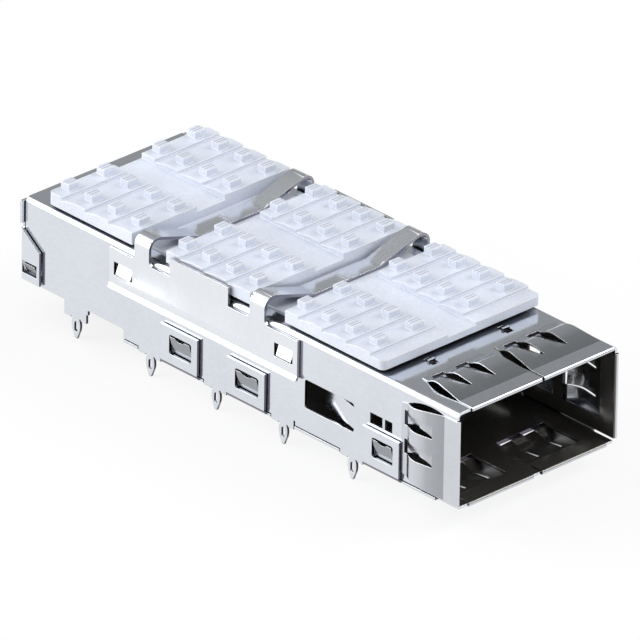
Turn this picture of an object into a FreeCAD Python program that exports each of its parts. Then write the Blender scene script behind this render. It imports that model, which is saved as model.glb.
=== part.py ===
"""Press-fit cage for one pluggable network module, with its riding heat sink and spring clip.

Lengths are in millimetres. X runs across the port, Y from the mouth to the rear and Z up.
Everything is drawn with Y = 0 at the mouth and Z = 0 on the host board; each piece is then moved
so that the origin lies on the board, midway between the first and the last pair of pins.
"""
import FreeCAD, Part
import math
import os
import Sketcher

DOC = FreeCAD.newDocument("port_cage")
SHEET = DOC.addObject("Spreadsheet::Sheet", "sizes")
NODES = []
ROWS = []


class Size:
    """A length together with the sheet formula that it comes from."""

    def __init__(self, value, formula):
        self.value = value
        self.formula = formula

    def __add__(self, other):
        other = as_size(other)
        return Size(self.value + other.value, f"({self.formula} + {other.formula})")

    def __sub__(self, other):
        other = as_size(other)
        return Size(self.value - other.value, f"({self.formula} - {other.formula})")

    def __mul__(self, other):
        other = as_size(other)
        return Size(self.value * other.value, f"({self.formula} * {other.formula})")

    def __truediv__(self, other):
        other = as_size(other)
        return Size(self.value / other.value, f"({self.formula} / {other.formula})")

    def __neg__(self):
        return Size(-self.value, f"(0 - {self.formula})")

    __radd__ = __add__
    __rmul__ = __mul__


def as_size(number):
    """A plain number as a size, for sums with sizes from the sheet."""
    if isinstance(number, Size):
        return number
    return Size(float(number), f"({float(number)})")


def sine(degrees):
    return Size(math.sin(math.radians(degrees.value)), f"sin({degrees.formula} * 1 deg)")


def cosine(degrees):
    return Size(math.cos(math.radians(degrees.value)), f"cos({degrees.formula} * 1 deg)")


def size(alias, value, meaning):
    """Writes one driving dimension into the sheet and returns it."""
    row = len(ROWS) + 1
    ROWS.append(alias)
    SHEET.set(f"A{row}", meaning)
    SHEET.set(f"B{row}", str(value))
    SHEET.setAlias(f"B{row}", alias)
    return Size(value, f"sizes.{alias}")


# Folded cage
cage_width = size("cage_width", 18.95, "across the side walls, outside")
cage_length = size("cage_length", 55.0, "mouth to the rear face")
cage_height = size("cage_height", 9.45, "host board to the top face")
sheet_gauge = size("sheet_gauge", 0.25, "cage, bottom and rear sheet")
bend_radius = size("bend_radius", 0.3, "inside radius of the folds")
wall_rise = size("wall_rise", 0.5, "lower edge of the walls above the board")
rear_rise = size("rear_rise", 1.38, "the same, behind the bottom plate")

# Press-fit pins
pin_places = [
    size("pin_one", 13.1, "first pin from the mouth"),
    size("pin_two", 21.75, "second pin from the mouth"),
    size("pin_three", 30.25, "third pin from the mouth"),
    size("pin_four", 38.6, "fourth pin from the mouth"),
    size("pin_five", 48.1, "fifth pin from the mouth"),
]
pin_length = size("pin_length", 1.9, "pin below the board face")
pin_neck = size("pin_neck", 0.78, "pin width at the board")
pin_bulge = size("pin_bulge", 1.08, "pin width at the eye")
pin_point = size("pin_point", 0.22, "pin width at the point")
pin_bulge_drop = size("pin_bulge_drop", 0.532, "widest part of a pin below the board face")
pin_taper_drop = size("pin_taper_drop", 1.045, "start of a pin's taper below the board face")
pin_taper_width = size("pin_taper_width", 0.9288, "pin width where its taper starts")
pin_relief = size("pin_relief", 0.12, "depth of the notch beside a pin's root")
pin_relief_side = size("pin_relief_side", 0.08, "that notch past the widest part of the pin")
eye_width = size("eye_width", 0.42, "width of the eye")
eye_length = size("eye_length", 1.0, "length of the eye")
eye_drop = size("eye_drop", 0.228, "top of the eye below the board face")
foot_front = size("foot_front", 1.3, "foot in front of the pin axis")
foot_rear = size("foot_rear", 1.5, "foot behind the pin axis")
slit_width = size("slit_width", 0.2, "relief slit in front of a foot")
slit_rise = size("slit_rise", 0.9, "top of the relief slit above the board")

# Bottom plate and its latch flaps
plate_rise = size("plate_rise", 0.12, "bottom plate above the board")
plate_end = size("plate_end", 42.0, "rear end of the bottom plate")
plate_relief = size("plate_relief", 0.1, "bottom plate clear of the feet")
plate_corner = size("plate_corner", 2.8, "notch at the front corners of the bottom plate")
flap_gap = size("flap_gap", 0.1, "outer flaps clear of the wall")
flap_top = size("flap_top", 4.1, "top of the latch flaps above the board")
flap_play = size("flap_play", 0.1, "flaps clear of the slit in front of a foot")
flap_widths = [
    (pin_places[0], size("front_flap", 4.5, "width of the flap at the first pin")),
    (pin_places[2], size("middle_flap", 4.85, "width of the flap at the third pin")),
    (pin_places[3], size("rear_flap", 4.7, "width of the flap at the fourth pin")),
]
catch_front = size("catch_front", 0.75, "front edge of a flap to its window")
catch_rear = size("catch_rear", 1.15, "rear edge of a flap to its window")
catch_low = size("catch_low", 1.5, "lower edge of the flap windows above the board")
catch_high = size("catch_high", 3.4, "upper edge of the flap windows above the board")
catch_play = size("catch_play", 0.15, "play around a catch in its window")
catch_out = size("catch_out", 0.42, "catch tips stand out of the wall")
catch_scallop = size("catch_scallop", 0.22, "depth of the hollow in a flap catch's tip")
window_corner = size("window_corner", 0.25, "corner radius of the windows")

# Module latches in the side walls
latch_front = size("latch_front", 12.95, "front end of the latch window")
latch_length = size("latch_length", 6.15, "length of the latch window")
latch_low = size("latch_low", 2.68, "lower edge of the latch window")
latch_high = size("latch_high", 5.45, "upper edge of the latch window")
latch_play = size("latch_play", 0.35, "latch flap clear of the window")
latch_reach = size("latch_reach", 4.6, "latch flap along the wall")
latch_in = size("latch_in", 1.1, "latch tip inside the wall")
port_front = size("port_front", 8.2, "front end of the small wall window")
port_length = size("port_length", 2.75, "length of the small wall window")
port_low = size("port_low", 4.4, "lower edge of the small wall window")
port_high = size("port_high", 5.45, "upper edge of the small wall window")
port_bar = size("port_bar", 0.3, "bar across the small wall window")

# Rear cover
rear_top_gap = size("rear_top_gap", 0.35, "rear cover below the top face")
rear_bend = size("rear_bend", 0.12, "inside radius of the rear cover's folds")
rear_wrap = size("rear_wrap", 2.5, "side flaps of the rear cover along the wall")
rear_flap_low = size("rear_flap_low", 1.55, "lower edge of those flaps")
rear_flap_mid = size("rear_flap_mid", 4.75, "front corner of those flaps")
rear_flap_high = size("rear_flap_high", 6.4, "rear corner of those flaps")
rear_notch = size("rear_notch", 0.55, "notch between those flaps and the ears above them")
rear_catch_length = size("rear_catch_length", 1.85, "window in a side flap")
rear_catch_low = size("rear_catch_low", 2.2, "lower edge of that window")
rear_catch_high = size("rear_catch_high", 3.4, "upper edge of that window")
rear_catch_back = size("rear_catch_back", 0.3, "that window from the rear face")

# Contact springs round the mouth
spring_gauge = size("spring_gauge", 0.1, "contact spring sheet")
spring_strip = size("spring_strip", 1.7, "flat strip behind the mouth")
spring_leg = size("spring_leg", 1.4, "leg inside the mouth")
spring_finger = size("spring_finger", 4.55, "bowed fingers along the cage")
spring_bar = size("spring_bar", 0.68, "flat bar behind the fingers")
spring_bow = size("spring_bow", 0.44, "fingers stand out of the cage")
spring_ramp_part = size("spring_ramp_part", 0.62, "part of a finger that rises straight")
spring_fall_part = size("spring_fall_part", 0.11, "part of a finger that falls straight")
spring_sag = size("spring_sag", 0.16, "edge of a finger beside its gap, bent in below the cage's face")
spring_dip = size("spring_dip", 0.1, "free corner at the rear of that edge, bent in")
spring_pitch = size("spring_pitch", 2.75, "finger to finger")
spring_slit = size("spring_slit", 0.34, "slit behind a finger")
spring_slit_reach = size("spring_slit_reach", 1.4, "length of that slit")
spring_lens = size("spring_lens", 0.42, "widest part of a finger gap")
spring_tip = size("spring_tip", 0.2, "front end of a finger gap")
spring_root_part = size("spring_root_part", 0.28, "part of a finger in front of its gap")
spring_taper = size("spring_taper", 0.75, "springs narrower at the rear, on each side")
spring_bulge = size("spring_bulge", 0.45, "windows past the edge of the first finger")
spring_window = size("spring_window", 2.0, "front edge of the windows under the fingers")
spring_margin = size("spring_margin", 0.5, "windows narrower than the rear of the springs")
top_inset_left = size("top_inset_left", 1.62, "left top spring from the left wall's face")
top_inset_right = size("top_inset_right", 0.62, "right top spring from the right wall's face")
top_spring_gap = size("top_spring_gap", 0.3, "top springs apart")
low_inset_left = size("low_inset_left", 1.45, "left bottom spring from the left wall's face")
low_inset_right = size("low_inset_right", 1.25, "right bottom spring from the right wall's face")
low_spring_gap = size("low_spring_gap", 1.05, "bottom springs apart")
side_inset_high = size("side_inset_high", 0.75, "side springs below the top face")
side_inset_low = size("side_inset_low", 0.1, "side springs above the lower edge of the walls")

# Heat sink
sink_inset = size("sink_inset", 0.12, "heat sink inside the faces of the walls")
sink_front = size("sink_front", 9.6, "front edge of the heat sink")
sink_length = size("sink_length", 42.3, "heat sink along the cage")
sink_gap = size("sink_gap", 0.4, "rim above the cage top")
sink_rim = size("sink_rim", 0.9, "rim height")
sink_corner = size("sink_corner", 0.5, "corner radius in plan")
shoulder_inset = size("shoulder_inset", 1.5, "seat under the rim, inside its edge")
pedestal_width = size("pedestal_width", 13.2, "pedestal across")
pedestal_front = size("pedestal_front", 14.0, "front of the pedestal")
pedestal_length = size("pedestal_length", 33.5, "pedestal along the cage")
pedestal_drop = size("pedestal_drop", 0.35, "pedestal below the inside of the top")
pedestal_play = size("pedestal_play", 0.35, "top opening clear of the pedestal")
row_front = size("row_front", 11.17, "front face of the first ridge")
row_pitch = size("row_pitch", 3.0, "row to row")
ridge_height = size("ridge_height", 0.28, "ridges above the rim's top")
fin_back = size("fin_back", 0.4, "fins behind the front face of their ridge")
fin_depth = size("fin_depth", 1.05, "fin along the cage")
fin_width = size("fin_width", 1.2, "fin across")
fin_height = size("fin_height", 0.66, "fins above the ridges")
inner_column = size("inner_column", 3.3, "inner fin columns from the middle")
outer_column = size("outer_column", 7.5, "outer fin columns from the middle")
lane_width = size("lane_width", 3.4, "plain lane along the middle")
lane_depth = size("lane_depth", 0.25, "that lane below the rim's top")
strap_lane_floor = size("strap_lane_floor", 0.15, "strap lanes above the cage top")
strap_lane_play = size("strap_lane_play", 0.2, "strap lanes clear of the next row")
ROWS_PER_BLOCK = 4
BLOCKS = 3

# Heat sink clip
clip_gauge = size("clip_gauge", 0.28, "clip sheet")
clip_gap = size("clip_gap", 0.06, "clip rails clear of the wall")
rail_front = size("rail_front", 19.75, "front end of a rail")
rail_length = size("rail_length", 23.8, "rail along the cage")
rail_low = size("rail_low", 5.1, "lower edge of a rail above the board")
rail_high = size("rail_high", 8.95, "shoulder of a rail above the board")
lip_height = size("lip_height", 0.45, "flared lip of a rail")
lip_out = size("lip_out", 0.22, "lip stands out of the rail")
tower_front = size("tower_front", 28.5, "front end of the raised edge")
tower_length = size("tower_length", 7.4, "length of the raised edge")
tower_top = size("tower_top", 1.3, "raised edge above the cage top")
strap_places = [
    size("strap_one", 24.85, "middle of the front strap"),
    size("strap_two", 39.45, "middle of the rear strap"),
]
strap_width = size("strap_width", 1.85, "strap along the cage")
strap_crown = size("strap_crown", 1.95, "top of the strap curls above the cage top")
strap_curl = size("strap_curl", 1.05, "outside radius of the curls")
strap_slope = size("strap_slope", 17.5, "fall of the straps behind the curls, in degrees")
strap_root = size("strap_root", 0.5, "radius where a strap meets its rail")
hook_side = size("hook_side", 0.6, "rail end to its window")
hook_length = size("hook_length", 2.3, "length of a rail window")
hook_low = size("hook_low", 6.45, "lower edge of the rail windows")
hook_high = size("hook_high", 7.75, "upper edge of the rail windows")

# Stops in the top, in front of the heat sink
stop_place = size("stop_place", 4.4, "stops from the middle")
stop_width = size("stop_width", 0.8, "stop across")
stop_front = size("stop_front", 8.15, "front edge of the stop holes")
stop_length = size("stop_length", 1.3, "stop hole along the cage")
stop_height = size("stop_height", 0.22, "stop bridges above the cage top")

# Shared places
half_width = cage_width / 2
inner_half = half_width - sheet_gauge
flap_inner = half_width + flap_gap
flap_outer = flap_inner + sheet_gauge
rail_inner = half_width + clip_gap
rail_outer = rail_inner + clip_gauge
plate_top = plate_rise + sheet_gauge
sheet_front = spring_gauge + sheet_gauge / 2
rear_inside = cage_length - sheet_gauge
top_inside = cage_height - sheet_gauge
origin_y = (pin_places[0] + pin_places[-1]) / 2
sink_half = half_width - sink_inset
flap_places = []
for pin_place, flap_width in flap_widths:
    flap_places.append((pin_place - foot_front - slit_width - flap_play - flap_width, flap_width))
top_spring_width = (cage_width - top_inset_left - top_inset_right - top_spring_gap) / 2
top_spring_left = -half_width + top_inset_left + top_spring_width / 2
top_spring_right = half_width - top_inset_right - top_spring_width / 2
low_spring_width = (cage_width - low_inset_left - low_inset_right - low_spring_gap) / 2
low_spring_left = -half_width + low_inset_left + low_spring_width / 2
low_spring_right = half_width - low_inset_right - low_spring_width / 2
spring_bow_end = spring_strip + spring_finger
spring_end = spring_bow_end + spring_bar
spring_ramp_end = spring_strip + spring_finger * spring_ramp_part
spring_fall = spring_bow_end - spring_finger * spring_fall_part
spring_crest = (spring_ramp_end + spring_fall) / 2
spring_gap_front = spring_strip + spring_finger * spring_root_part
spring_gap_end = spring_bow_end + spring_slit
spring_gap_height = spring_bow * spring_root_part / spring_ramp_part
side_spring_low = wall_rise + side_inset_low
side_spring_width = cage_height - side_inset_high - side_spring_low
side_spring_middle = side_spring_low + side_spring_width / 2
# Cuts reach this far past the sheets that they shape, or past one face
BEYOND = 5.0
MARGIN = 1.0
# Height at the end of a finger's arc, as a share of its bow
FALL_HEIGHT = 0.58
# Middle of a quarter round from its square corner, as a share of the radius
NEAR = 1 - 2 ** -0.5


def bind(thing, path, length):
    """Ties a property or constraint to its sheet formula."""
    thing.setExpression(path, as_size(length).formula)


def new_body(name):
    body = DOC.addObject("PartDesign::Body", name)
    body.Label = name
    NODES.append(body)
    return body


def spot(corner):
    return FreeCAD.Vector(as_size(corner[0]).value, as_size(corner[1]).value, 0)


def pin_down(drawing, geometry, end, corner):
    """Fixes one point of a sketch at the formulas of a corner."""
    for kind, length in (("DistanceX", corner[0]), ("DistanceY", corner[1])):
        length = as_size(length)
        made = drawing.addConstraint(Sketcher.Constraint(kind, -1, 1, geometry, end, length.value))
        bind(drawing, f"Constraints[{made}]", length)


def draw(drawing, loop):
    """Draws a closed outline. A corner is (x, y); with a third item, the edge to the next corner
    is an arc through that point."""
    ends = []
    for index, corner in enumerate(loop):
        start = spot(corner)
        finish = spot(loop[(index + 1) % len(loop)])
        if len(corner) == 2:
            ends.append((drawing.addGeometry(Part.LineSegment(start, finish)), 1, 2))
            continue
        through = spot(corner[2])
        turn = (through - start).cross(finish - through).z
        if turn > 0:
            ends.append((drawing.addGeometry(Part.Arc(start, through, finish)), 1, 2))
        else:
            ends.append((drawing.addGeometry(Part.Arc(finish, through, start)), 2, 1))
    for index, corner in enumerate(loop):
        edge, first, last = ends[index]
        following, joined = ends[(index + 1) % len(loop)][:2]
        drawing.addConstraint(Sketcher.Constraint("Coincident", edge, last, following, joined))
        pin_down(drawing, edge, first, corner)
        if len(corner) == 3:
            marker = drawing.addGeometry(Part.Point(spot(corner[2])), True)
            drawing.addConstraint(Sketcher.Constraint("PointOnObject", marker, 1, edge))
            pin_down(drawing, marker, 1, corner[2])


def sketch(body, name, role, loops, level):
    """A sketch of closed outlines at a level along its plane's normal."""
    drawing = body.newObject("Sketcher::SketchObject", name)
    plane = next(item for item in body.Origin.OriginFeatures if item.Role == role)
    drawing.AttachmentSupport = [(plane, "")]
    drawing.MapMode = "FlatFace"
    for loop in loops:
        draw(drawing, loop)
    bind(drawing, "AttachmentOffset.Base.z", -level if role == "XZ_Plane" else level)
    return drawing


def feature(body, kind, name, role, loops, low, high):
    """A Pad or Pocket of closed outlines, between two levels along the plane's normal."""
    low = as_size(low)
    high = as_size(high)
    drawing = sketch(body, f"{name}_outline", role, loops, (low + high) / 2)
    step = body.newObject(f"PartDesign::{kind}", name)
    step.Profile = drawing
    step.SideType = "Symmetric"
    bind(step, "Length", high - low)
    before = body.Shape.Volume if kind == "Pocket" else None
    DOC.recompute()
    if before is not None and body.Shape.Volume > before - 1e-6:
        raise ValueError(f"{name} cuts nothing from {body.Label}")
    return step


def pad(body, name, role, loops, low, high):
    return feature(body, "Pad", name, role, loops, low, high)


def pocket(body, name, role, loops, low, high):
    return feature(body, "Pocket", name, role, loops, low, high)


def loft(body, name, first, second):
    """A ruled loft between two outlines drawn from the side, each given with its place across."""
    start = sketch(body, f"{name}_start", "YZ_Plane", [first[0]], first[1])
    finish = sketch(body, f"{name}_finish", "YZ_Plane", [second[0]], second[1])
    step = body.newObject("PartDesign::AdditiveLoft", name)
    step.Profile = start
    step.Sections = [(finish, "")]
    step.Ruled = True
    DOC.recompute()
    return step


def rectangle(x_low, x_high, y_low, y_high):
    return [(x_low, y_low), (x_high, y_low), (x_high, y_high), (x_low, y_high)]


def rounded(x_low, x_high, y_low, y_high):
    """A window with round corners."""
    radius = window_corner
    bit = radius * NEAR
    return [
        (x_low + radius, y_low),
        (x_high - radius, y_low, (x_high - bit, y_low + bit)),
        (x_high, y_low + radius),
        (x_high, y_high - radius, (x_high - bit, y_high - bit)),
        (x_high - radius, y_high),
        (x_low + radius, y_high, (x_low + bit, y_high - bit)),
        (x_low, y_high - radius),
        (x_low, y_low + radius, (x_low + bit, y_low + bit)),
    ]


def both_sides(loop):
    """An outline and its mirror image across the middle of the cage."""
    mirrored = []
    for corner in reversed(loop):
        mirrored.append((-as_size(corner[0]), corner[1]))
    return [loop, mirrored]


def across(body, name, loops):
    """Cuts outlines drawn from the side right across the piece."""
    reach = half_width + BEYOND
    return pocket(body, name, "YZ_Plane", loops, -reach, reach)


def place(body):
    """Moves a finished piece so that the origin lies amid the pins."""
    bind(body, "Placement.Base.y", -origin_y)


def fold_section(inner, low, top, gauge, radius):
    """Section of a channel that opens downwards: two walls and a top, with round folds."""
    outer = inner + gauge
    reach = radius + gauge
    return [
        (-outer, low),
        (-inner, low),
        (-inner, top - reach, (-inner + radius * NEAR, top - gauge - radius * NEAR)),
        (-inner + radius, top - gauge),
        (inner - radius, top - gauge, (inner - radius * NEAR, top - gauge - radius * NEAR)),
        (inner, top - reach),
        (inner, low),
        (outer, low),
        (outer, top - reach, (outer - reach * NEAR, top - reach * NEAR)),
        (outer - reach, top),
        (-outer + reach, top, (-outer + reach * NEAR, top - reach * NEAR)),
        (-outer, top - reach),
    ]


def pin_edge(axis, level_front, level_rear):
    """Lower edge of a wall around one pin, from front to rear."""
    tip = -pin_length
    bulge = -pin_bulge_drop
    taper = -pin_taper_drop
    flank = pin_taper_width / 2
    notch = pin_bulge / 2 + pin_relief_side
    return [
        (axis - foot_front - slit_width, level_front),
        (axis - foot_front - slit_width, slit_rise),
        (axis - foot_front, slit_rise),
        (axis - foot_front, 0.0),
        (axis - notch, 0.0),
        (axis - notch, pin_relief),
        (axis - pin_neck / 2, pin_relief, (axis - pin_bulge / 2, bulge)),
        (axis - flank, taper),
        (axis - pin_point / 2, tip),
        (axis + pin_point / 2, tip),
        (axis + flank, taper, (axis + pin_bulge / 2, bulge)),
        (axis + pin_neck / 2, pin_relief),
        (axis + notch, pin_relief),
        (axis + notch, 0.0),
        (axis + foot_rear, 0.0),
        (axis + foot_rear, level_rear),
    ]


def eye(axis):
    """Slot in a pin that lets it give in its hole."""
    half = eye_width / 2
    high = -eye_drop
    low = high - eye_length
    return [
        (axis - half, high - half),
        (axis - half, low + half, (axis, low)),
        (axis + half, low + half),
        (axis + half, high - half, (axis, high)),
    ]


def lower_edge():
    """Region below the walls that is cut away, leaving feet and pins."""
    loop = [(-BEYOND, -pin_length - BEYOND), (-BEYOND, wall_rise)]
    for axis in pin_places[:-1]:
        loop += pin_edge(axis, wall_rise, wall_rise)
    loop += [(plate_end, wall_rise), (plate_end, rear_rise)]
    loop += pin_edge(pin_places[-1], rear_rise, rear_rise)
    loop += [(cage_length + BEYOND, rear_rise), (cage_length + BEYOND, -pin_length - BEYOND)]
    return loop


def flap_catch(front, width):
    """Side view of the window in a latch flap."""
    return rounded(front + catch_front, front + width - catch_rear, catch_low, catch_high)


def catch_ends(front, width):
    """Front and rear ends of the catch in such a window."""
    return front + catch_front + catch_play, front + width - catch_rear - catch_play


def catch_hollow(front, width):
    """Side view of the hollow in the tip of that catch."""
    low, high = catch_ends(front, width)
    quarter = (high - low) / 4
    tip = catch_high - catch_play
    return [
        (low + quarter, tip, ((low + high) / 2, tip - catch_scallop)),
        (high - quarter, tip),
    ]


def rail_hooks():
    """Side views of the windows at the ends of a clip rail."""
    front = rail_front + hook_side
    rear = rail_front + rail_length - hook_side - hook_length
    return [(start, start + hook_length, hook_low, hook_high) for start in (front, rear)]


def rear_catch():
    """Side view of the window in a side flap of the rear cover."""
    rear = cage_length - rear_catch_back
    return rear - rear_catch_length, rear, rear_catch_low, rear_catch_high


def catch_section(hinge, tip):
    """Section of a lanced catch, from its hinge on the wall to its free end."""
    return [
        (inner_half, hinge),
        (half_width, hinge),
        (half_width + catch_out, tip),
        (inner_half + catch_out, tip),
    ]


def spring_hole(middle, width, hand):
    """Window under a spring's fingers, as places across and along; it bulges out to the given hand."""
    edge = middle + width / 2 * hand
    far = middle - (width / 2 - spring_taper - spring_margin) * hand
    bulge = edge + (spring_bulge - spring_taper / 2) * hand
    return [
        (edge, spring_window, (bulge, (spring_window + spring_gap_end) / 2)),
        (edge - spring_taper * hand, spring_gap_end),
        (far, spring_gap_end),
        (far, spring_window),
    ]


def from_side(loop):
    """An outline with the two places of each point exchanged."""
    turned = []
    for corner in loop:
        if len(corner) == 3:
            turned.append((corner[1], corner[0], (corner[2][1], corner[2][0])))
        else:
            turned.append((corner[1], corner[0]))
    return turned


def make_cage_shell():
    """Top and side walls with pins, catches and latches, stamped and folded from one sheet."""
    body = new_body("cage_shell")
    section = fold_section(inner_half, -pin_length - MARGIN, cage_height, sheet_gauge, bend_radius)
    pad(body, "folded_sheet", "XZ_Plane", [section], sheet_front, rear_inside - rear_bend)
    across(body, "lower_edge", [lower_edge()])
    across(body, "pin_eyes", [eye(axis) for axis in pin_places])

    latch_rear = latch_front + latch_length
    bar_low = port_front + port_length / 3
    windows = [
        rounded(latch_front, latch_rear, latch_low, latch_high),
        rectangle(port_front, bar_low, port_low, port_high),
        rectangle(bar_low + port_bar, port_front + port_length, port_low, port_high),
        from_side(spring_hole(side_spring_middle, side_spring_width, 1)),
        rectangle(*rear_catch()),
    ]
    windows += [flap_catch(front, width) for front, width in flap_places]
    windows += [rectangle(*hook) for hook in rail_hooks()]
    across(body, "wall_windows", windows)

    opening_side = pedestal_width / 2 + pedestal_play
    openings = [
        rectangle(-opening_side, opening_side, pedestal_front - pedestal_play,
                  pedestal_front + pedestal_length + pedestal_play),
        spring_hole(top_spring_left, top_spring_width, -1),
        spring_hole(top_spring_right, top_spring_width, -1),
    ]
    stops = []
    stop_middle = stop_front + stop_length / 2
    for side in (-1, 1):
        middle = stop_place * side
        low = middle - stop_width / 2
        high = middle + stop_width / 2
        openings.append(rectangle(low, high, stop_front, stop_front + stop_length))
        stops.append(rectangle(low, high, stop_middle - sheet_gauge / 2, stop_middle + sheet_gauge / 2))
    pocket(body, "top_openings", "XY_Plane", openings, top_inside - bend_radius, cage_height + MARGIN)
    pad(body, "stop_bridges", "XY_Plane", stops, top_inside, cage_height + stop_height)

    section = both_sides(catch_section(catch_low, catch_high - catch_play))
    for number, (front, width) in enumerate(flap_places):
        pad(body, f"flap_catch_{number}", "XZ_Plane", section, *catch_ends(front, width))
    across(body, "catch_hollows", [catch_hollow(front, width) for front, width in flap_places])
    section = both_sides(catch_section(hook_high, hook_low + catch_play))
    for number, hook in enumerate(rail_hooks()):
        pad(body, f"rail_catch_{number}", "XZ_Plane", section, hook[0] + catch_play, hook[1] - catch_play * 2)
    section = both_sides(catch_section(rear_catch_low, rear_catch_high - catch_play))
    front, rear = rear_catch()[:2]
    pad(body, "rear_catch", "XZ_Plane", section, front + catch_play, rear - catch_play * 2)

    latch = [
        (inner_half, latch_front),
        (half_width, latch_front),
        (half_width - latch_in, latch_front + latch_reach),
        (inner_half - latch_in, latch_front + latch_reach),
    ]
    pad(body, "module_latches", "XY_Plane", both_sides(latch), latch_low + latch_play, latch_high - latch_play)
    place(body)


def flap_section():
    """Section of the bottom plate and a pair of latch flaps."""
    reach = bend_radius + sheet_gauge
    return [
        (-flap_outer, flap_top),
        (-flap_outer, plate_rise + reach, (-flap_outer + reach * NEAR, plate_rise + reach * NEAR)),
        (-flap_outer + reach, plate_rise),
        (flap_outer - reach, plate_rise, (flap_outer - reach * NEAR, plate_rise + reach * NEAR)),
        (flap_outer, plate_rise + reach),
        (flap_outer, flap_top),
        (flap_inner, flap_top),
        (flap_inner, plate_rise + reach, (flap_inner - bend_radius * NEAR, plate_top + bend_radius * NEAR)),
        (flap_inner - bend_radius, plate_top),
        (-flap_inner + bend_radius, plate_top,
         (-flap_inner + bend_radius * NEAR, plate_top + bend_radius * NEAR)),
        (-flap_inner, plate_rise + reach),
        (-flap_inner, flap_top),
    ]


def make_bottom_plate():
    """Bottom plate whose flaps fold up outside the walls and snap over the catches."""
    body = new_body("bottom_plate")
    plan = rectangle(-half_width, half_width, sheet_front, plate_end)
    pad(body, "plate", "XY_Plane", [plan], plate_rise, plate_top)
    windows = [spring_hole(low_spring_left, low_spring_width, -1),
               spring_hole(low_spring_right, low_spring_width, -1)]
    pocket(body, "spring_windows", "XY_Plane", windows, plate_rise - MARGIN, plate_top + MARGIN)
    for number, (front, width) in enumerate(flap_places):
        pad(body, f"flaps_{number}", "XZ_Plane", [flap_section()], front, front + width)
    inside = inner_half - plate_relief
    beyond = half_width + BEYOND
    notches = both_sides(rectangle(inside, beyond, -BEYOND, plate_corner))
    for axis in pin_places[:-1]:
        notches += both_sides(rectangle(inside, beyond, axis - foot_front - plate_relief,
                                        axis + foot_rear + plate_relief))
    pocket(body, "edge_notches", "XY_Plane", notches, plate_rise - MARGIN, plate_top + MARGIN)
    across(body, "flap_windows", [flap_catch(front, width) for front, width in flap_places])
    place(body)


def make_rear_cover():
    """Rear plate with a flap round each side that snaps over the rear catches."""
    body = new_body("rear_cover")
    reach = rear_bend + sheet_gauge
    front = cage_length - rear_wrap
    wrap = [
        (-flap_outer, front),
        (-flap_inner, front),
        (-flap_inner, cage_length - reach,
         (-flap_inner + rear_bend * NEAR, rear_inside - rear_bend * NEAR)),
        (-flap_inner + rear_bend, rear_inside),
        (flap_inner - rear_bend, rear_inside,
         (flap_inner - rear_bend * NEAR, rear_inside - rear_bend * NEAR)),
        (flap_inner, cage_length - reach),
        (flap_inner, front),
        (flap_outer, front),
        (flap_outer, cage_length - reach, (flap_outer - reach * NEAR, cage_length - reach * NEAR)),
        (flap_outer - reach, cage_length),
        (-flap_outer + reach, cage_length, (-flap_outer + reach * NEAR, cage_length - reach * NEAR)),
        (-flap_outer, cage_length - reach),
    ]
    pad(body, "wrap", "XY_Plane", [wrap], rear_flap_low, rear_flap_high)
    slope = [
        (front - MARGIN, rear_flap_high + MARGIN),
        (front - MARGIN, rear_flap_mid),
        (front, rear_flap_mid),
        (rear_inside, rear_flap_high),
        (rear_inside, rear_flap_high + MARGIN),
    ]
    across(body, "slope", [slope])
    ear_low = rear_flap_high + rear_notch
    top = cage_height - rear_top_gap
    upper = [
        (-half_width, rear_flap_low),
        (half_width, rear_flap_low),
        (half_width, ear_low),
        (flap_outer, ear_low),
        (flap_outer, top),
        (-flap_outer, top),
        (-flap_outer, ear_low),
        (-half_width, ear_low),
    ]
    pad(body, "plate", "XZ_Plane", [upper], rear_inside, cage_length)
    across(body, "catch_windows", [rectangle(*rear_catch())])
    place(body)


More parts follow.
